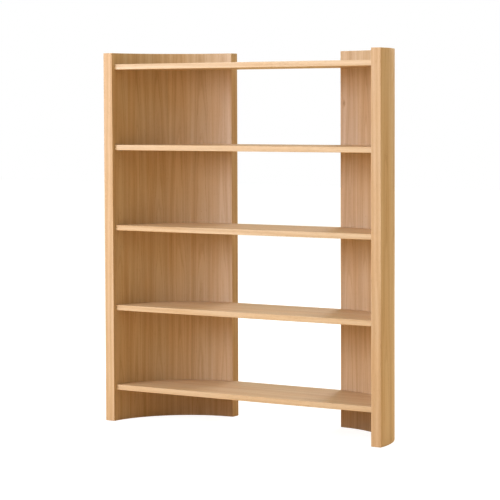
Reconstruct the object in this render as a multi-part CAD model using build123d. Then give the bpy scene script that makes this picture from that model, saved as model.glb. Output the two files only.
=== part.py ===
from build123d import *
import math
import os

os.makedirs("parts", exist_ok=True)

# A free-standing oak bookcase, open at the front and at the back. Each side is a
# quarter of a ring in plan: it starts square to the front and curves in to the rear.
# Five shelves run between the sides. The top and bottom ones are housed and bolted;
# the three between them rest on steel pins and can be lifted and set at other heights.
# Frame: +Z up, the front faces -Y, origin on the floor under the middle of the case.

# overall sizes
case_height = 1400.0  # floor to the top of the sides
case_width = 1210.0  # across the sides, at the front
side_radius = 370.0  # outer radius of the curved sides, which is also the depth
side_thickness = 40.0
rear_stop = 8.0  # each side ends this far short of its full quarter turn

# curved sides, glued up from straight-grained staves with loose tongues between
staves_per_side = 6
edge_round = 1.5
tongue_thickness = 6.0
tongue_width = 20.0
tongue_stop = 40.0  # the tongues end this far from the top and bottom of a side
tongue_cheek_gap = 0.1
tongue_edge_gap = 0.5

# shelves, each glued up from three boards
shelf_thickness = 20.0
shelf_setback = 15.0  # shelf front edge behind the front faces of the sides
bottom_shelf_top = 140.0  # floor to the top face of the lowest shelf
side_rise = 42.0  # the sides stand this far above the top shelf
glue_line_to_cam = 19.5  # from the first glue line back to the middle of the second cam
shelf_edge_bevel = 1.0

# fixed shelves, housed in grooves in the sides
housing_depth = 8.0
housing_gap = 0.3

# adjustable shelves
shelf_end_gap = 1.0  # between a shelf's end and the side
pin_diameter = 5.0
pin_in_side = 10.0
pin_reach = 9.0  # how far a pin stands out of the side
pin_edge_bevel = 0.5
pin_hole_gap = 0.05  # on the radius
pin_hole_extra = 0.5  # the holes are this much deeper than the pins go
row_pitch = 32.0
spare_rows = 2  # spare holes above, and as many below
front_pin_stave = 0
rear_pin_stave = 4
pin_groove_depth = 3.0
pin_groove_side_gap = 0.5
pin_groove_extra = 3.0
hole_plug_length = 6.0
hole_plug_inset = 0.3

# cam fittings that pull the fixed shelves into their housings
cam_staves = (0, 1)  # a bolt in the middle of each of these staves
cam_diameter = 15.0
cam_height = 12.5
cam_pocket_gap = 0.2
cam_setback = 34.0  # from the end of the shelf to the middle of the cam
cam_slot_width = 8.0
cam_slot_wall = 2.5  # solid behind the slot, up to the middle of the cam
cam_driver_span = 7.5
cam_driver_width = 1.2
cam_driver_depth = 1.0
bolt_thread_diameter = 6.0
bolt_thread_length = 11.0
bolt_shank_diameter = 7.0
bolt_neck_diameter = 4.0
bolt_head_diameter = 6.5
bolt_head_length = 3.0
bolt_neck_length = 4.0
bolt_shank_short = 3.0  # the shank starts this far inside the end of the shelf
bolt_gap = 0.05

# screws from behind into the back edges of the fixed shelves, under oak plugs
screw_stave = 5
screw_diameter = 5.0
screw_length = 50.0
screw_point_length = 2.0
screw_tip_diameter = 1.0
screw_head_diameter = 10.0
screw_head_height = 4.0
screw_socket_width = 4.0
screw_socket_depth = 2.5
screw_side_gap = 0.25
screw_plug_diameter = 12.0
screw_plug_length = 9.0

# plastic glides let into the bottoms of the sides
glide_staves = (0, 2, 5)
glide_diameter = 22.0
glide_stand = 1.5  # the sides stand this far off the floor
glide_recess = 3.0
glide_recess_gap = 0.1
glide_edge = 0.6

# allowances for making
cut_overrun = 1.0  # a cut starts this far outside the face that it opens
same_place = 0.01  # two places closer than this are one

# what follows from the sizes above
inner_radius = side_radius - side_thickness
middle_radius = side_radius - side_thickness / 2
arc_x = case_width / 2 - side_radius
case_depth = math.sqrt(side_radius**2 - rear_stop**2)
front_y = -case_depth / 2
end_angle = math.degrees(math.acos(rear_stop / middle_radius))
stave_step = end_angle / staves_per_side
side_height = case_height - glide_stand
top_shelf_top = case_height - side_rise
shelf_names = ("bottom_shelf", "lower_shelf", "middle_shelf", "upper_shelf", "top_shelf")
shelf_pitch = (top_shelf_top - bottom_shelf_top) / (len(shelf_names) - 1)
fixed_shelves = ("bottom_shelf", "top_shelf")
fixed_end_radius = inner_radius + housing_depth
loose_end_radius = inner_radius - shelf_end_gap
pin_radius = pin_diameter / 2

BASE = (Align.CENTER, Align.CENTER, Align.MIN)
TIP = (Align.CENTER, Align.CENTER, Align.MAX)


def shelf_bottom(name):
    return bottom_shelf_top + shelf_names.index(name) * shelf_pitch - shelf_thickness


def shelf_middle(name):
    return shelf_bottom(name) + shelf_thickness / 2


def stave_middle(index):
    return (index + 0.5) * stave_step


def radial(angle, radius, height):
    # a place on the right side whose own Z axis points straight out of the curve
    return Pos(arc_x, front_y, height) * Rot(0, 0, angle) * Pos(radius, 0, 0) * Rot(0, 90, 0)


def both_sides(shapes):
    # the right-hand solids and their mirror images on the left
    return list(shapes) + [mirror(shape, about=Plane.YZ) for shape in shapes]


# ---- the curved sides ----


def side_blank():
    ring = Circle(side_radius) - Circle(inner_radius)
    window = Rectangle(side_radius, side_radius, align=(Align.MIN, Align.MIN))
    outline = ring & (Pos(rear_stop, 0) * window)
    blank = extrude(Pos(arc_x, front_y, glide_stand) * outline, side_height)
    return fillet(blank.edges(), edge_round)


def stave_wedge(index):
    # the first and last wedges run on past the ends of the side
    start = index * stave_step if index > 0 else -stave_step
    finish = (index + 1) * stave_step
    if index == staves_per_side - 1:
        finish += stave_step
    reach = 2 * side_radius
    corners = [(0, 0)]
    for angle in (start, finish):
        corners.append((reach * math.cos(math.radians(angle)), reach * math.sin(math.radians(angle))))
    wedge = Pos(arc_x, front_y) * Polygon(*corners, align=None)
    return extrude(wedge, case_height)


def tongue(joint, cheek_gap=0.0, edge_gap=0.0):
    length = side_height - 2 * tongue_stop + 2 * edge_gap
    strip = Box(tongue_thickness + 2 * cheek_gap, tongue_width + 2 * edge_gap, length)
    height = glide_stand + side_height / 2
    return Pos(arc_x, front_y, height) * Rot(0, 0, joint * stave_step) * Pos(middle_radius, 0, 0) * strip


def pin_height(name):
    # the top of a pin carries the roof of the groove in the shelf above it
    return shelf_bottom(name) + pin_groove_depth - pin_radius


def pin_hole_cuts():
    depth = pin_in_side + pin_hole_extra
    hole = Cylinder(pin_radius + pin_hole_gap, depth + cut_overrun, align=BASE)
    cuts = []
    for name in shelf_names:
        if name in fixed_shelves:
            continue
        for row in range(-spare_rows, spare_rows + 1):
            height = pin_height(name) + row * row_pitch
            for stave in (front_pin_stave, rear_pin_stave):
                cuts.append(radial(stave_middle(stave), inner_radius - cut_overrun, height) * hole)
    return cuts


def housing_cut(name):
    # the fixed shelf's own outline, with a little room above it and around its end
    groove = shelf_face(fixed_end_radius + housing_gap, shelf_setback - housing_gap)
    return extrude(Pos(0, 0, shelf_bottom(name)) * groove, shelf_thickness + housing_gap)


def glide_place(stave):
    angle = Rot(0, 0, stave_middle(stave))
    return Pos(arc_x, front_y, 0) * angle * Pos(middle_radius, 0, 0)


def glide_recess_cuts():
    radius = glide_diameter / 2 + glide_recess_gap
    recess = Cylinder(radius, glide_stand + glide_recess, align=BASE)
    return [glide_place(stave) * recess for stave in glide_staves]


def tongue_slots():
    joints = range(1, staves_per_side)
    return [tongue(joint, tongue_cheek_gap, tongue_edge_gap) for joint in joints]


# ---- cam fittings ----


def cam_offset(stave):
    # from the front of the case back to the bolt's line
    return inner_radius * math.sin(math.radians(stave_middle(stave)))


def cam_place(name, stave):
    # on the bolt's line where it crosses the end of the shelf; its Z axis points out, along X
    offset = cam_offset(stave)
    end_x = arc_x + math.sqrt(fixed_end_radius**2 - offset**2)
    return Pos(end_x, front_y + offset, shelf_middle(name)) * Rot(0, 90, 0)


def cam_bolt():
    head_end = -cam_setback - bolt_head_length / 2
    neck_start = head_end + bolt_head_length
    shank_start = neck_start + bolt_neck_length
    shank_length = -bolt_shank_short - shank_start
    thread = Cylinder(bolt_thread_diameter / 2, bolt_thread_length + bolt_shank_short, align=BASE)
    shank = Cylinder(bolt_shank_diameter / 2, shank_length, align=BASE)
    neck = Cylinder(bolt_neck_diameter / 2, bolt_neck_length, align=BASE)
    head = Cylinder(bolt_head_diameter / 2, bolt_head_length, align=BASE)
    bolt = Pos(0, 0, -bolt_shank_short) * thread
    bolt += Pos(0, 0, shank_start) * shank
    bolt += Pos(0, 0, neck_start) * neck
    bolt += Pos(0, 0, head_end) * head
    return bolt


def cam_bolt_bore():
    # a bore through the shelf's end to just past the cam's middle, and a tighter one in the side
    bore_length = cam_setback + bolt_head_length
    shelf_bore = Cylinder(bolt_shank_diameter / 2 + bolt_gap, bore_length, align=TIP)
    side_bore = Cylinder(bolt_thread_diameter / 2 + bolt_gap, bolt_thread_length + housing_gap, align=BASE)
    return shelf_bore + side_bore


def cam_body(name, stave):
    # a disc slotted on the side that the bolt comes in from, driven by a cross slot below
    centre = cam_place(name, stave).position - Vector(cam_setback, 0, 0)
    floor = shelf_bottom(name)
    disc = Pos(centre.X, centre.Y, floor) * Cylinder(cam_diameter / 2, cam_height, align=BASE)
    side_on = (Align.MIN, Align.CENTER, Align.CENTER)
    slot = Box(cam_diameter, cam_slot_width, cam_slot_width, align=side_on)
    slot = Pos(centre.X - cam_slot_wall, centre.Y, shelf_middle(name)) * slot
    driver = Box(cam_driver_span, cam_driver_width, cam_driver_depth, align=BASE)
    driver += Box(cam_driver_width, cam_driver_span, cam_driver_depth, align=BASE)
    driver = Pos(centre.X, centre.Y, floor) * driver
    return disc - slot - driver


def cam_pocket(name, stave):
    centre = cam_place(name, stave).position - Vector(cam_setback, 0, 0)
    radius = cam_diameter / 2 + cam_pocket_gap
    pocket = Cylinder(radius, cam_height + 2 * cam_pocket_gap, align=BASE)
    below = Cylinder(radius, cut_overrun, align=TIP)
    return Pos(centre.X, centre.Y, shelf_bottom(name)) * (pocket + below)


# ---- screws from behind ----


def screw_place(name):
    # where the screw's line leaves the outside of the side; its Z axis points back, along Y
    offset = inner_radius * math.cos(math.radians(stave_middle(screw_stave)))
    outside = front_y + math.sqrt(side_radius**2 - offset**2)
    return Pos(arc_x + offset, outside, shelf_middle(name)) * Rot(-90, 0, 0)


def rear_screw():
    head = Cylinder(screw_head_diameter / 2, screw_head_height, align=BASE)
    socket = extrude(RegularPolygon(screw_socket_width / 2, 6, major_radius=False), screw_socket_depth)
    head -= Pos(0, 0, screw_head_height - screw_socket_depth) * socket
    shank_length = screw_length - screw_point_length
    shank = Cylinder(screw_diameter / 2, shank_length, align=TIP)
    point = Cone(screw_tip_diameter / 2, screw_diameter / 2, screw_point_length, align=TIP)
    screw = head + shank + Pos(0, 0, -shank_length) * point
    return Pos(0, 0, -screw_plug_length - screw_head_height) * screw


def rear_screw_side_bore():
    wide = Cylinder(screw_plug_diameter / 2, screw_plug_length + screw_head_height, align=TIP)
    mouth = Cylinder(screw_plug_diameter / 2, side_thickness, align=BASE)
    narrow = Cylinder(screw_diameter / 2 + screw_side_gap, side_thickness, align=TIP)
    return wide + mouth + narrow


def rear_screw_shelf_bore():
    deep = screw_length + screw_plug_length + screw_head_height
    return Cylinder(screw_diameter / 2, deep, align=TIP)


def screw_plug(name, blank):
    # turned oak, cut off flush with the curve
    blank_plug = Cylinder(screw_plug_diameter / 2, side_thickness, align=BASE)
    return (screw_place(name) * Pos(0, 0, -screw_plug_length) * blank_plug) & blank


# ---- shelves ----


def shelf_face(end_radius, setback):
    # straight in front and behind, with ends that follow the curved sides
    start = math.degrees(math.asin(setback / end_radius))
    right_end = CenterArc((arc_x, front_y), end_radius, start, 90 - start)
    left_end = CenterArc((-arc_x, front_y), end_radius, 90, 90 - start)
    back = Line(right_end @ 1, left_end @ 0)
    front = Line(left_end @ 1, right_end @ 0)
    return make_face([right_end, back, left_end, front])


def glue_lines(end_radius):
    # the two joints between a shelf's three boards
    first = front_y + cam_offset(cam_staves[-1]) - glue_line_to_cam
    second = (first + front_y + end_radius) / 2
    return first, second


def on_glue_line(edge, end_radius):
    return any(abs(edge.center().Y - line) < same_place for line in glue_lines(end_radius))


def bevelled_boards(name, end_radius):
    # the three boards, with every outer edge bevelled and the glued faces left square
    first, second = glue_lines(end_radius)
    front = front_y + shelf_setback
    back = front_y + end_radius
    spans = {
        "front_board": (front, first),
        "middle_board": (first, second),
        "rear_board": (second, back),
    }
    boards = {}
    for part, (low, high) in spans.items():
        span = Pos(0, low) * Rectangle(case_width, high - low, align=(Align.CENTER, Align.MIN))
        outline = shelf_face(end_radius, shelf_setback) & span
        board = extrude(Pos(0, 0, shelf_bottom(name)) * outline, shelf_thickness)
        flat_edges = board.edges() - board.edges().filter_by(Axis.Z)
        outer_edges = [edge for edge in flat_edges if not on_glue_line(edge, end_radius)]
        boards[part] = chamfer(outer_edges, shelf_edge_bevel)
    return boards


def pin_groove(name, stave):
    # open at the shelf's end and underneath, with a flat roof that sits on the pin
    length = pin_reach + pin_groove_extra
    width = pin_diameter + 2 * pin_groove_side_gap
    under = (Align.MIN, Align.CENTER, Align.MAX)
    slot = Box(length + cut_overrun, width, pin_groove_depth + cut_overrun, align=under)
    roof = shelf_bottom(name) + pin_groove_depth
    place = Pos(arc_x, front_y, roof) * Rot(0, 0, stave_middle(stave))
    return place * Pos(inner_radius - length, 0, 0) * slot


def fixed_shelf_boards(name):
    cuts = [cam_pocket(name, stave) for stave in cam_staves]
    cuts += [cam_place(name, stave) * cam_bolt_bore() for stave in cam_staves]
    cuts += [screw_place(name) * rear_screw_shelf_bore()]
    boards = bevelled_boards(name, fixed_end_radius)
    return {part: board - both_sides(cuts) for part, board in boards.items()}


def loose_shelf_boards(name):
    cuts = [pin_groove(name, stave) for stave in (front_pin_stave, rear_pin_stave)]
    boards = bevelled_boards(name, loose_end_radius)
    return {part: board - both_sides(cuts) for part, board in boards.items()}


# ---- pins and plugs ----


def shelf_pin(name, stave):
    pin = Cylinder(pin_radius, pin_in_side + pin_reach, align=BASE)
    pin = chamfer(pin.edges(), pin_edge_bevel)
    return radial(stave_middle(stave), inner_radius - pin_reach, pin_height(name)) * pin


def hole_plugs():
    plug = Cylinder(pin_radius, hole_plug_length, align=BASE)
    plugs = []
    for name in shelf_names:
        if name in fixed_shelves:
            continue
        for row in range(-spare_rows, spare_rows + 1):
            if row == 0:
                continue
            height = pin_height(name) + row * row_pitch
            for stave in (front_pin_stave, rear_pin_stave):
                place = radial(stave_middle(stave), inner_radius + hole_plug_inset, height)
                plugs.append(place * plug)
    return plugs


def glides():
    height = glide_stand + glide_recess
    glide = Cylinder(glide_diameter / 2, height, align=BASE)
    glide = chamfer(glide.edges().sort_by(Axis.Z)[0], glide_edge)
    return [glide_place(stave) * glide for stave in glide_staves]


# ---- put the case together ----

nodes = {}

blank = side_blank()
side_cuts = pin_hole_cuts() + glide_recess_cuts() + tongue_slots()
for name in fixed_shelves:
    side_cuts.append(housing_cut(name))
    side_cuts += [cam_place(name, stave) * cam_bolt_bore() for stave in cam_staves]
    side_cuts.append(screw_place(name) * rear_screw_side_bore())
machined_side = blank - side_cuts

for index in range(staves_per_side):
    stave = machined_side & stave_wedge(index)
    nodes[f"right_side_stave_{index + 1}"] = stave
    nodes[f"left_side_stave_{index + 1}"] = mirror(stave, about=Plane.YZ)

grouped = {
    "side_tongues": [tongue(joint) for joint in range(1, staves_per_side)],
    "side_hole_plugs": hole_plugs(),
    "side_glides": glides(),
}
for part, shapes in grouped.items():
    nodes[f"right_{part}"] = Compound(children=shapes)
    nodes[f"left_{part}"] = Compound(children=[mirror(shape, about=Plane.YZ) for shape in shapes])

for name in shelf_names:
    if name in fixed_shelves:
        boards = fixed_shelf_boards(name)
        fittings = {
            "cam_bolts": [cam_place(name, stave) * cam_bolt() for stave in cam_staves],
            "cams": [cam_body(name, stave) for stave in cam_staves],
            "rear_screws": [screw_place(name) * rear_screw()],
            "screw_plugs": [screw_plug(name, blank)],
        }
    else:
        boards = loose_shelf_boards(name)
        staves = (front_pin_stave, rear_pin_stave)
        fittings = {"pins": [shelf_pin(name, stave) for stave in staves]}
    for part, board in boards.items():
        nodes[f"{name}_{part}"] = board
    for part, shapes in fittings.items():
        nodes[f"{name}_{part}"] = Compound(children=both_sides(shapes))

for name, shape in nodes.items():
    export_step(shape, f"parts/{name}.step")
print(len(nodes), "nodes, depth", round(case_depth, 2), "shelf pitch", round(shelf_pitch, 2))
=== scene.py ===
import math
import bpy
from mathutils import Euler, Matrix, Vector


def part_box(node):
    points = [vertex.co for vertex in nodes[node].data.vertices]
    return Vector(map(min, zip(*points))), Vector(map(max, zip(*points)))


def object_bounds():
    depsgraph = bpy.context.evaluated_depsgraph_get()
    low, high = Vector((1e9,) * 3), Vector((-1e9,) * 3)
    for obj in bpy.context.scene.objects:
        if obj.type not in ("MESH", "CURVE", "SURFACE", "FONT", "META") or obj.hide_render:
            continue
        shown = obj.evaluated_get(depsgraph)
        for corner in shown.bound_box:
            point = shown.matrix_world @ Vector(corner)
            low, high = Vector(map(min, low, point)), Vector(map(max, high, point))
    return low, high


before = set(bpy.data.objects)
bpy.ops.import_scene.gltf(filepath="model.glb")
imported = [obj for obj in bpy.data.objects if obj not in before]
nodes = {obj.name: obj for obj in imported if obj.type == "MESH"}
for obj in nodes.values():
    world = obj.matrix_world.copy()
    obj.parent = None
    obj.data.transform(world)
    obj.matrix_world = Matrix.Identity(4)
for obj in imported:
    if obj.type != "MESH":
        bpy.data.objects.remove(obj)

cadLow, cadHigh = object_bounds()
print("frame loaded:", len(nodes), "nodes")


class Wire:
    # a node's socket that can be used in sums

    def __init__(self, finish, socket):
        self.finish = finish
        self.socket = socket

    def math(self, operation, first, second=0.0):
        return self.finish.node("Math", {"operation": operation}, {0: first, 1: second})

    def __add__(self, other):
        return self.math("ADD", self, other)

    def __radd__(self, other):
        return self.math("ADD", other, self)

    def __sub__(self, other):
        return self.math("SUBTRACT", self, other)

    def __rsub__(self, other):
        return self.math("SUBTRACT", other, self)

    def __mul__(self, other):
        return self.math("MULTIPLY", self, other)

    def __rmul__(self, other):
        return self.math("MULTIPLY", other, self)

    def __truediv__(self, other):
        return self.math("DIVIDE", self, other)

    def __rtruediv__(self, other):
        return self.math("DIVIDE", other, self)

    def __abs__(self):
        return self.math("ABSOLUTE", self)


class Finish:
    # the nodes of one material, or of the world

    def __init__(self, holder):
        self.holder = holder
        holder.use_nodes = True
        self.tree = holder.node_tree
        self.tree.nodes.clear()

    def node(self, kind, settings=None, inputs=None, out=0):
        made = self.tree.nodes.new("ShaderNode" + kind)
        for key, value in (settings or {}).items():
            if key == "stops":
                self.setStops(made.color_ramp, value)
            else:
                setattr(made, key, value)
        for key, value in (inputs or {}).items():
            if isinstance(value, Wire):
                self.tree.links.new(value.socket, made.inputs[key])
            elif isinstance(value, tuple) and len(made.inputs[key].default_value) == 4:
                made.inputs[key].default_value = (*value, 1)
            else:
                made.inputs[key].default_value = value
        return Wire(self, made.outputs[out]) if made.outputs else None

    def setStops(self, ramp, stops):
        while len(ramp.elements) < len(stops):
            ramp.elements.new(0.5)
        for element, (place, colour) in zip(ramp.elements, stops):
            shade = colour if isinstance(colour, tuple) else (colour, colour, colour)
            element.position = place
            element.color = (*shade, 1)

    def mixColour(self, factor, first, second, blend="MIX"):
        settings = {"data_type": "RGBA", "blend_type": blend}
        return self.node("Mix", settings, {0: factor, 6: first, 7: second}, 2)

    def noise(self, x, y, z, detail=2.0, rough=0.5):
        place = self.node("CombineXYZ", None, {0: x, 1: y, 2: z})
        return self.node("TexNoise", None, {
            "Vector": place, "Scale": 1.0, "Detail": detail, "Roughness": rough})

    def between(self, value, low, high):
        # 0 below low, 1 above high, smooth in between
        return self.node("MapRange", {"interpolation_type": "SMOOTHSTEP"}, {0: value, 1: low, 2: high})

    def least(self, first, second):
        return first.math("MINIMUM", first, second)

    def most(self, first, second):
        return first.math("MAXIMUM", first, second)

    def position(self):
        where = self.node("TexCoord", None, None, "Object")
        return [self.node("SeparateXYZ", None, {0: where}, axis) for axis in range(3)]

    def surface(self, colour, rough, height, depth, metallic=0.0, ior=1.45, strength=1.0):
        bump = self.node("Bump", None, {"Height": height, "Distance": depth, "Strength": strength})
        return self.close(self.node("BsdfPrincipled", None, {
            "Base Color": colour, "Roughness": rough, "Normal": bump, "Metallic": metallic, "IOR": ior}))

    def close(self, shader, output="OutputMaterial"):
        self.node(output, None, {"Surface": shader})
        return self.holder


def startMaterial(name):
    return Finish(bpy.data.materials.new(name))


# camera

view = {
    "place": (4.22348, -6.47009, 1.19375),
    "turn": 0.58524,  # radians to the left of straight back
    "tilt": 0.05646,  # radians downwards
    "roll": -0.00359,
    "lens": 149.902,
    "film": 36.0,
    "rise": -0.05,
    "reach": 60.0,
}


def makeCamera():
    data = bpy.data.cameras.new("camera")
    data.lens = view["lens"]
    data.sensor_width = view["film"]
    data.shift_y = view["rise"]
    data.clip_end = view["reach"]
    camera = bpy.data.objects.new("camera", data)
    aim = Euler((math.pi / 2 - view["tilt"], 0, view["turn"])).to_matrix()
    aim = aim @ Matrix.Rotation(view["roll"], 3, "Z")
    camera.location = view["place"]
    camera.rotation_euler = aim.to_euler()
    bpy.context.scene.collection.objects.link(camera)
    bpy.context.scene.camera = camera


makeCamera()

# room

room = {
    "floorSize": 40.0,
    "floorTint": (0.92, 0.74, 0.50),  # what the floor sends back on to the case
    "floorShade": (0.25, 0.25, 0.25),  # how much of the case's shadow shows on it
    "floorSeen": 0.92,
    "skyLight": 0.61,
    "skyTint": (1.00, 0.93, 0.63),
    "gamma": 0.80,
}

coolLamp = (0.90, 0.985, 1.28)  # the ones in front; the rest fill in with warmer light

lamps = {
    "left": {"place": (-5.5, -8.0, 3.0), "size": (4.0, 4.0), "power": 232.0, "tint": coolLamp},
    "near": {"place": (-2.4, -3.9, 2.0), "size": (1.6, 1.6), "power": 54.0, "tint": coolLamp},
    "high": {"place": (-1.5, -6.0, 6.0), "size": (3.0, 3.0), "power": 140.0, "tint": coolLamp},
    "right": {"place": (4.4, 0.6, 2.1), "size": (2.6, 2.4), "power": 30.0, "tint": (0.95, 0.985, 1.12)},
    "top": {"place": (0.0, -1.5, 5.0), "size": (3.5, 3.5), "power": 24.0, "tint": (1.02, 0.96, 0.92)},
    "back": {"place": (-1.0, 6.5, 3.5), "size": (3.0, 3.0), "power": 205.0, "tint": (0.98, 0.975, 1.08)},
}


def makeLamp(name, facts):
    data = bpy.data.lights.new(name, "AREA")
    data.shape = "RECTANGLE"
    data.size, data.size_y = facts["size"]
    data.energy = facts["power"]
    data.color = facts["tint"]
    lamp = bpy.data.objects.new(name, data)
    lamp.location = facts["place"]
    lamp.visible_camera = False
    towards = (cadLow + cadHigh) / 2 - lamp.location
    lamp.rotation_euler = towards.to_track_quat("-Z", "Y").to_euler()
    bpy.context.scene.collection.objects.link(lamp)


def makeSky():
    # plain white where it is seen, softer and warmer where it lights
    world = bpy.data.worlds.new("studio")
    bpy.context.scene.world = world
    sky = Finish(world)
    seen = sky.node("LightPath", None, None, "Is Camera Ray")
    soft = sky.node("Background", None, {"Color": room["skyTint"], "Strength": room["skyLight"]})
    white = sky.node("Background", None, {"Color": (1, 1, 1)})
    sky.close(sky.node("MixShader", None, {0: seen, 1: soft, 2: white}), "OutputWorld")


def makeFloor():
    half = room["floorSize"] / 2
    mesh = bpy.data.meshes.new("floor")
    corners = [(-half, -half, 0), (half, -half, 0), (half, half, 0), (-half, half, 0)]
    mesh.from_pydata(corners, [], [(0, 1, 2, 3)])
    floor = bpy.data.objects.new("floor", mesh)
    bpy.context.scene.collection.objects.link(floor)
    finish = startMaterial("floorPaint")
    seen = finish.node("LightPath", None, None, "Is Camera Ray")
    paint = finish.node("BsdfDiffuse", None, {"Color": room["floorTint"]})
    thin = finish.node("BsdfDiffuse", None, {"Color": room["floorShade"]})
    glow = finish.node("Emission", None, {"Color": (1, 1, 1), "Strength": room["floorSeen"]})
    pale = finish.node("AddShader", None, {0: thin, 1: glow})
    mesh.materials.append(finish.close(finish.node("MixShader", None, {0: seen, 1: paint, 2: pale})))


for name, facts in lamps.items():
    makeLamp(name + "Lamp", facts)
makeSky()
makeFloor()
display = bpy.context.scene.view_settings
display.view_transform = "Standard"
display.gamma = room["gamma"]
print("camera, light and floor ready")

# the quarter rings that the sides follow, worked out from the model's own boxes

sides = {"staves": 6, "thickness": 0.040}

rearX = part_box("right_side_stave_6")[0][0]
halfWidth = cadHigh.x
depth = cadHigh.y - cadLow.y
arcX = (halfWidth + rearX - depth * depth / (halfWidth - rearX)) / 2
outerRadius = halfWidth - arcX
middleRadius = outerRadius - sides["thickness"] / 2
innerRadius = outerRadius - sides["thickness"]
frontY = cadLow.y
staveStep = math.acos((rearX - arcX) / middleRadius) / sides["staves"]

# oak

oak = {
    "pale": (0.708, 0.548, 0.382),
    "warm": (0.586, 0.414, 0.250),
    "dark": (0.362, 0.216, 0.106),
    "honey": (0.995, 0.955, 0.890),  # a patch of warmer wood is multiplied by this
    "worn": (0.800, 0.650, 0.470),
    "endGrain": (0.800, 0.720, 0.620),  # the tops and bottoms of the staves are multiplied by this
    "endGrainTurn": (0.75, 0.97),  # how upright a face is where end grain starts and is full
    "shelves": (1.06, 1.10, 1.14),  # the shelves, sawn from paler wood, are multiplied by this
    "midTone": 0.18,
    "warmAt": 0.38,  # where warm lies between pale, 0, and dark, 1
    "pith": 0.06,  # how far off the piece the tree's heart was
    "lean": 0.010,  # how much the tree tapers
    "wander": 0.055,  # how far the rings swing from side to side
    "waver": 0.009,
    "ringWidth": 0.0036,
    "ringDepth": 0.20,
    "ringStops": [(0.0, 1.0), (0.10, 0.85), (0.30, 0.25), (0.85, 0.0), (1.0, 1.0)],
    "seasonWidth": 0.0170,  # runs of wide and narrow years
    "seasonDepth": 0.16,
    "bandDepth": 0.33,
    "bandSway": 0.012,
    "patchDepth": 0.10,
    "patchSpan": (0.35, 0.65),
    "fibreDepth": 0.26,
    "poreDepth": 0.40,
    "poreSpan": (0.58, 0.68),  # lower numbers make more pores
    "edgeStart": 0.0006,
    "edgeWidth": 0.0022,
    "edgeRagged": 0.003,
    "edgeWear": 0.45,
    "wearSpan": (0.30, 0.60),
    "roughness": 0.50,
    "fibreRough": 0.16,
    "poreRough": 0.15,
    "patchRough": 0.08,
    "wearRough": 0.12,
    "bumpDepth": 0.00012,
    "bumpStrength": 0.8,
}

# how fine each kind of figure is along and across the grain, and how the seed moves it each way
figure = {
    "slow": {"along": 0.9, "across": 7.0, "shift": (3.7, 1, 0), "detail": 2.0, "rough": 0.5},
    "drift": {"along": 3.1, "across": 22.0, "shift": (1, 0, 1), "detail": 2.0, "rough": 0.5},
    "band": {"along": 1.7, "across": 120.0, "shift": (1.3, 9, 0), "detail": 4.0, "rough": 0.62},
    "fibre": {"along": 9.0, "across": 520.0, "shift": (1, 0, 1), "detail": 4.0, "rough": 0.65},
    "pore": {"along": 60.0, "across": 1500.0, "shift": (1, 0, 0), "detail": 2.0, "rough": 0.6},
    "patch": {"along": 2.3, "across": 9.0, "shift": (0, 5, 0), "detail": 2.0, "rough": 0.5},
}

knot = {
    "stave": "right_side_stave_6",
    "height": 1.207,
    "angle": 86.0,  # round the side from the front, in degrees
    "size": 0.011,
    "narrow": 0.6,
    "push": 0.018,  # how far the rings part round it
    "dark": 0.5,
    "span": (0.15, 0.95),  # how soft its rim is
}


def sideGrain(finish):
    # along the staves, around the curve, through the thickness, how near an edge is, and end grain
    x, y, z = finish.position()
    out = abs(x) - arcX
    back = y - frontY
    radius = out.math("SQRT", out * out + back * back)
    around = out.math("ARCTAN2", back, out) * middleRadius
    toEnd = finish.least(back, out - (rearX - arcX))
    toFace = finish.least(radius - innerRadius, outerRadius - radius)
    toTop = finish.least(cadHigh.z - z, z)
    middling = finish.least(finish.most(toEnd, toFace), toTop)
    edge = finish.most(finish.least(toEnd, toFace), middling)
    facing = finish.node("NewGeometry", None, None, "Normal")
    upright = finish.node("SeparateXYZ", None, {0: facing}, 2)
    cutAcross = finish.between(abs(upright), *oak["endGrainTurn"])
    return z, around, radius - middleRadius, edge, cutAcross


def shelfGrain(name):
    # the same for one shelf, whose boards run from side to side and show no end grain
    frontLow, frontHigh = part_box(name + "_front_board")
    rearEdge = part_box(name + "_rear_board")[1][1]

    def grain(finish):
        x, y, z = finish.position()
        out = finish.most(abs(x) - arcX, 0.0)
        back = y - frontY
        toRim = (rearEdge - frontY) - out.math("SQRT", out * out + back * back)
        toRim = finish.least(toRim, y - frontLow[1])
        toFace = finish.least(frontHigh[2] - z, z - frontLow[2])
        edge = finish.most(toRim, toFace)
        return x, back, z - (frontLow[2] + frontHigh[2]) / 2, edge, None

    return grain


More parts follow.
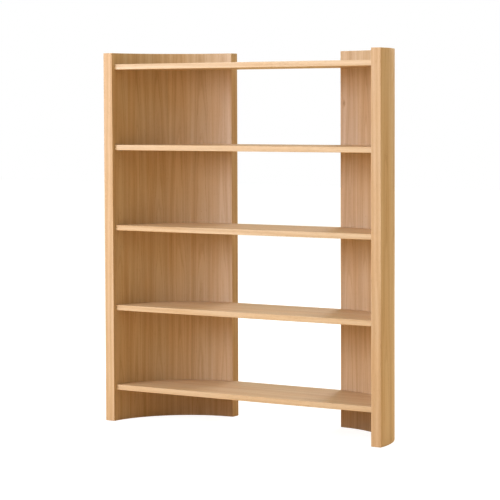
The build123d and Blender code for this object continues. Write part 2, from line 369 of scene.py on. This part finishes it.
def oakFinish(name, grain, seed, middle, tone=0.0, withKnot=False, lift=None):
    # middle is where the stave or board lies across the grain
    finish = startMaterial(name)
    along, across, through, edge, cutAcross = grain(finish)
    across = across - middle

    def drawn(kind, crosswise):
        facts = figure[kind]
        moved = [seed * shift for shift in facts["shift"]]
        return finish.noise(along * facts["along"] + moved[0], crosswise * facts["across"] + moved[1],
                            through * facts["across"] + moved[2], facts["detail"], facts["rough"])

    slow = drawn("slow", across)
    drift = drawn("drift", across)
    aside = across + (slow - 0.5) * oak["wander"]
    deep = through + oak["pith"]
    heart = aside.math("SQRT", aside * aside + deep * deep)
    heart = heart + along * oak["lean"] + (drift - 0.5) * oak["waver"]
    if withKnot:
        knotAround = math.radians(knot["angle"]) * middleRadius
        ahead = (along - knot["height"]) / knot["size"]
        beside = (across + middle - knotAround) / (knot["size"] * knot["narrow"])
        near = ahead.math("EXPONENT", (ahead * ahead + beside * beside) * -1.0)
        heart = heart + near * knot["push"]

    phase = heart.math("FRACT", heart / oak["ringWidth"])
    ring = finish.node("ValToRGB", {"stops": oak["ringStops"]}, {0: phase})
    season = heart.math("SINE", heart * (2 * math.pi / oak["seasonWidth"]))
    band = drawn("band", aside + (drift - 0.5) * oak["bandSway"])
    fibre = drawn("fibre", across)
    pores = finish.between(drawn("pore", across), *oak["poreSpan"]) * (ring * 0.75 + 0.25)
    patch = drawn("patch", across)

    shade = ring * (slow * 0.8 + 0.4) * oak["ringDepth"] + season * (slow * oak["seasonDepth"])
    shade = shade + (band - 0.5) * oak["bandDepth"] + (fibre - 0.5) * oak["fibreDepth"]
    shade = shade + (patch - 0.5) * oak["patchDepth"] + pores * oak["poreDepth"] + (tone + oak["midTone"])
    if withKnot:
        shade = shade + finish.between(near, *knot["span"]) * knot["dark"]

    stops = [(0.0, oak["pale"]), (oak["warmAt"], oak["warm"]), (1.0, oak["dark"])]
    colour = finish.node("ValToRGB", {"stops": stops}, {0: shade})
    colour = finish.mixColour(finish.between(patch, *oak["patchSpan"]), colour, oak["honey"], "MULTIPLY")
    if cutAcross:
        cutColour = finish.mixColour(1.0, colour, oak["endGrain"], "MULTIPLY")
        colour = finish.mixColour(cutAcross, colour, cutColour)
    if lift:
        colour = finish.mixColour(1.0, colour, lift, "MULTIPLY")

    ragged = edge + (patch - 0.5) * oak["edgeRagged"]
    wear = 1.0 - finish.between(ragged, oak["edgeStart"], oak["edgeWidth"])
    wear = wear * (finish.between(drift, *oak["wearSpan"]) * oak["edgeWear"])
    colour = finish.mixColour(wear, colour, oak["worn"])
    rough = (fibre - 0.5) * oak["fibreRough"] + pores * oak["poreRough"]
    rough = rough + (patch - 0.5) * oak["patchRough"] + wear * oak["wearRough"] + oak["roughness"]
    height = (fibre - 0.5) * 0.35 - pores - ring * 0.15  # in bump depths
    return finish.surface(colour, rough, height, oak["bumpDepth"], strength=oak["bumpStrength"])


def dress(node, material):
    for slot in nodes[node].material_slots:
        slot.material = material


# how much darker each stave and board is than the plain tone, dealt out in turn; the entry 0.05 is painted
# shade, darkening the right side's front stave where the light falls off to the right, and it darkens the
# other pieces it is dealt to as well
tonesWithPaintedShade = [0.00, -0.01, 0.015, -0.01, 0.05, 0.01, 0.0, 0.015, -0.01]

# a seed picks the part of the tree that a piece is cut from
staves = {"firstSeed": 1.0, "staveSeed": 3.17, "sideSeed": 21.3, "sideTurn": 4}
boards = {"firstSeed": 2.0, "boardSeed": 13.7, "shelfSeed": 5.9, "shelfTurn": 2}
pinHolePlugs = {"seed": 61.0, "middle": 0.0, "tone": 0.06}
screwPlugs = {"seeds": {"bottom_shelf": 83.0, "top_shelf": 80.0}, "middle": 0.4, "tone": 0.05}


def nextToneWithShade(turn):
    return tonesWithPaintedShade[turn % len(tonesWithPaintedShade)]


for sideIndex, side in enumerate(("left", "right")):
    for index in range(sides["staves"]):
        name = f"{side}_side_stave_{index + 1}"
        seed = staves["staveSeed"] * index + staves["sideSeed"] * sideIndex + staves["firstSeed"]
        middle = (index + 0.5) * staveStep * middleRadius
        # the right side's front stave is dealt the 0.05 entry, painted shade for the light falling off to
        # the right
        tone = nextToneWithShade(index + staves["sideTurn"] * sideIndex)
        dress(name, oakFinish(name + "Oak", sideGrain, seed, middle, tone, withKnot=name == knot["stave"]))
    name = f"{side}_side_hole_plugs"
    seed = pinHolePlugs["seed"] + sideIndex
    dress(name, oakFinish(name + "Oak", sideGrain, seed, pinHolePlugs["middle"], pinHolePlugs["tone"]))
print("sides laid up")

fixedShelves = ("bottom_shelf", "top_shelf")
liftingShelves = ("lower_shelf", "middle_shelf", "upper_shelf")

for shelfIndex, shelf in enumerate(("bottom_shelf", *liftingShelves, "top_shelf")):
    for index, part in enumerate(("front", "middle", "rear")):
        name = f"{shelf}_{part}_board"
        low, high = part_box(name)
        middle = (low[1] + high[1]) / 2 - frontY
        seed = boards["shelfSeed"] * shelfIndex + boards["boardSeed"] * index + boards["firstSeed"]
        tone = nextToneWithShade(shelfIndex * boards["shelfTurn"] + index)
        dress(name, oakFinish(name + "Oak", shelfGrain(shelf), seed, middle, tone, lift=oak["shelves"]))
for shelf in fixedShelves:
    name = f"{shelf}_screw_plugs"
    seed = screwPlugs["seeds"][shelf]
    dress(name, oakFinish(name + "Oak", sideGrain, seed, screwPlugs["middle"], screwPlugs["tone"]))
print("shelves and plugs in oak")

# steel: drawn bar with fine lines round it, and a film of oil in patches

steel = {
    "colour": (0.62, 0.61, 0.59),
    "dull": (0.40, 0.39, 0.37),
    "drawnFine": 5200.0,
    "drawnBroad": 300.0,
    "film": 140.0,
    "scratches": (2400.0, 260.0, 900.0),
    "roughness": 0.26,
    "bumpDepth": 0.00003,
}


def steelFinish():
    finish = startMaterial("brightSteel")
    x, y, z = finish.position()
    broad, film = steel["drawnBroad"], steel["film"]
    drawn = finish.noise(x * broad, y * broad, z * steel["drawnFine"], 3.0, 0.6)
    oil = finish.noise(x * film, y * film, z * film, 3.0, 0.6)
    lines = [axis * scale for axis, scale in zip((x, y, z), steel["scratches"])]
    scratch = finish.between(finish.noise(*lines), 0.60, 0.68)
    stain = finish.between(oil, 0.50, 0.72)
    colour = finish.mixColour(stain * 0.55, steel["colour"], steel["dull"])
    rough = (drawn - 0.5) * 0.18 + stain * 0.16 + scratch * 0.12 + steel["roughness"]
    return finish.surface(colour, rough, drawn - scratch * 0.6, steel["bumpDepth"], metallic=1.0, ior=2.5)


# zinc: die-cast, with a faint orange-peel skin and a dull grey bloom

zinc = {
    "colour": (0.56, 0.57, 0.58),
    "dull": (0.33, 0.33, 0.34),
    "skin": 900.0,
    "bloom": 210.0,
    "pits": 2600.0,
    "roughness": 0.42,
    "bumpDepth": 0.00008,
}


def zincFinish():
    finish = startMaterial("castZinc")
    place = finish.position()
    skin = finish.noise(*[axis * zinc["skin"] for axis in place], 3.0, 0.55)
    bloom = finish.noise(*[axis * zinc["bloom"] for axis in place], 3.0, 0.6)
    pits = finish.between(finish.noise(*[axis * zinc["pits"] for axis in place], 1.0), 0.64, 0.72)
    colour = finish.mixColour(finish.between(bloom, 0.40, 0.68) * 0.7, zinc["colour"], zinc["dull"])
    rough = (skin - 0.5) * 0.22 + bloom * 0.16 + zinc["roughness"]
    return finish.surface(colour, rough, skin - pits * 0.8, zinc["bumpDepth"], metallic=1.0, ior=2.2)


# nylon: moulded, with a sparked texture and scuffs where it meets the floor

nylon = {
    "colour": (0.60, 0.56, 0.50),
    "dull": (0.38, 0.35, 0.31),
    "spark": 1800.0,
    "cloud": 120.0,
    "scuffs": (700.0, 90.0, 300.0),
    "scuffHeight": 0.0012,
    "roughness": 0.48,
    "bumpDepth": 0.00010,
}


def nylonFinish():
    finish = startMaterial("glideNylon")
    place = finish.position()
    spark = finish.noise(*[axis * nylon["spark"] for axis in place], 2.0, 0.6)
    cloud = finish.noise(*[axis * nylon["cloud"] for axis in place], 3.0, 0.6)
    rubbed = [axis * scale for axis, scale in zip(place, nylon["scuffs"])]
    scuff = finish.between(finish.noise(*rubbed), 0.52, 0.66)
    low = 1.0 - finish.between(place[2], 0.0002, nylon["scuffHeight"])
    grime = scuff * low * 0.8 + finish.between(cloud, 0.45, 0.75) * 0.25
    colour = finish.mixColour(grime, nylon["colour"], nylon["dull"])
    rough = (spark - 0.5) * 0.20 + grime * 0.22 + nylon["roughness"]
    return finish.surface(colour, rough, spark - scuff * low, nylon["bumpDepth"], ior=1.53)


# ply: thin veneers seen on edge, dark where they are glued

ply = {
    "pale": (0.66, 0.50, 0.33),
    "warm": (0.54, 0.37, 0.21),
    "glue": (0.20, 0.11, 0.06),
    "veneer": 0.0012,
    "fibre": (12.0, 900.0, 600.0),
    "roughness": 0.62,
    "bumpDepth": 0.00010,
}


def plyFinish():
    finish = startMaterial("tonguePly")
    place = sideGrain(finish)[:3]
    leaf = place[1] / ply["veneer"]
    phase = leaf.math("FRACT", leaf)
    turned = finish.between(leaf.math("SINE", leaf * math.pi), -0.2, 0.2)
    threads = [axis * scale for axis, scale in zip(place, ply["fibre"])]
    fibre = finish.noise(*threads, 3.0, 0.6)
    glue = 1.0 - finish.between(phase, 0.04, 0.12)
    colour = finish.mixColour(turned * 0.6 + (fibre - 0.5) * 0.5, ply["pale"], ply["warm"])
    colour = finish.mixColour(glue * 0.8, colour, ply["glue"])
    rough = (fibre - 0.5) * 0.2 + ply["roughness"]
    return finish.surface(colour, rough, fibre - glue * 0.5, ply["bumpDepth"])


brightSteel = steelFinish()
castZinc = zincFinish()
glideNylon = nylonFinish()
tonguePly = plyFinish()
for shelf in liftingShelves:
    dress(shelf + "_pins", brightSteel)
for shelf in fixedShelves:
    dress(shelf + "_cam_bolts", brightSteel)
    dress(shelf + "_rear_screws", brightSteel)
    dress(shelf + "_cams", castZinc)
for side in ("left", "right"):
    dress(side + "_side_glides", glideNylon)
    dress(side + "_side_tongues", tonguePly)
print("fittings finished")
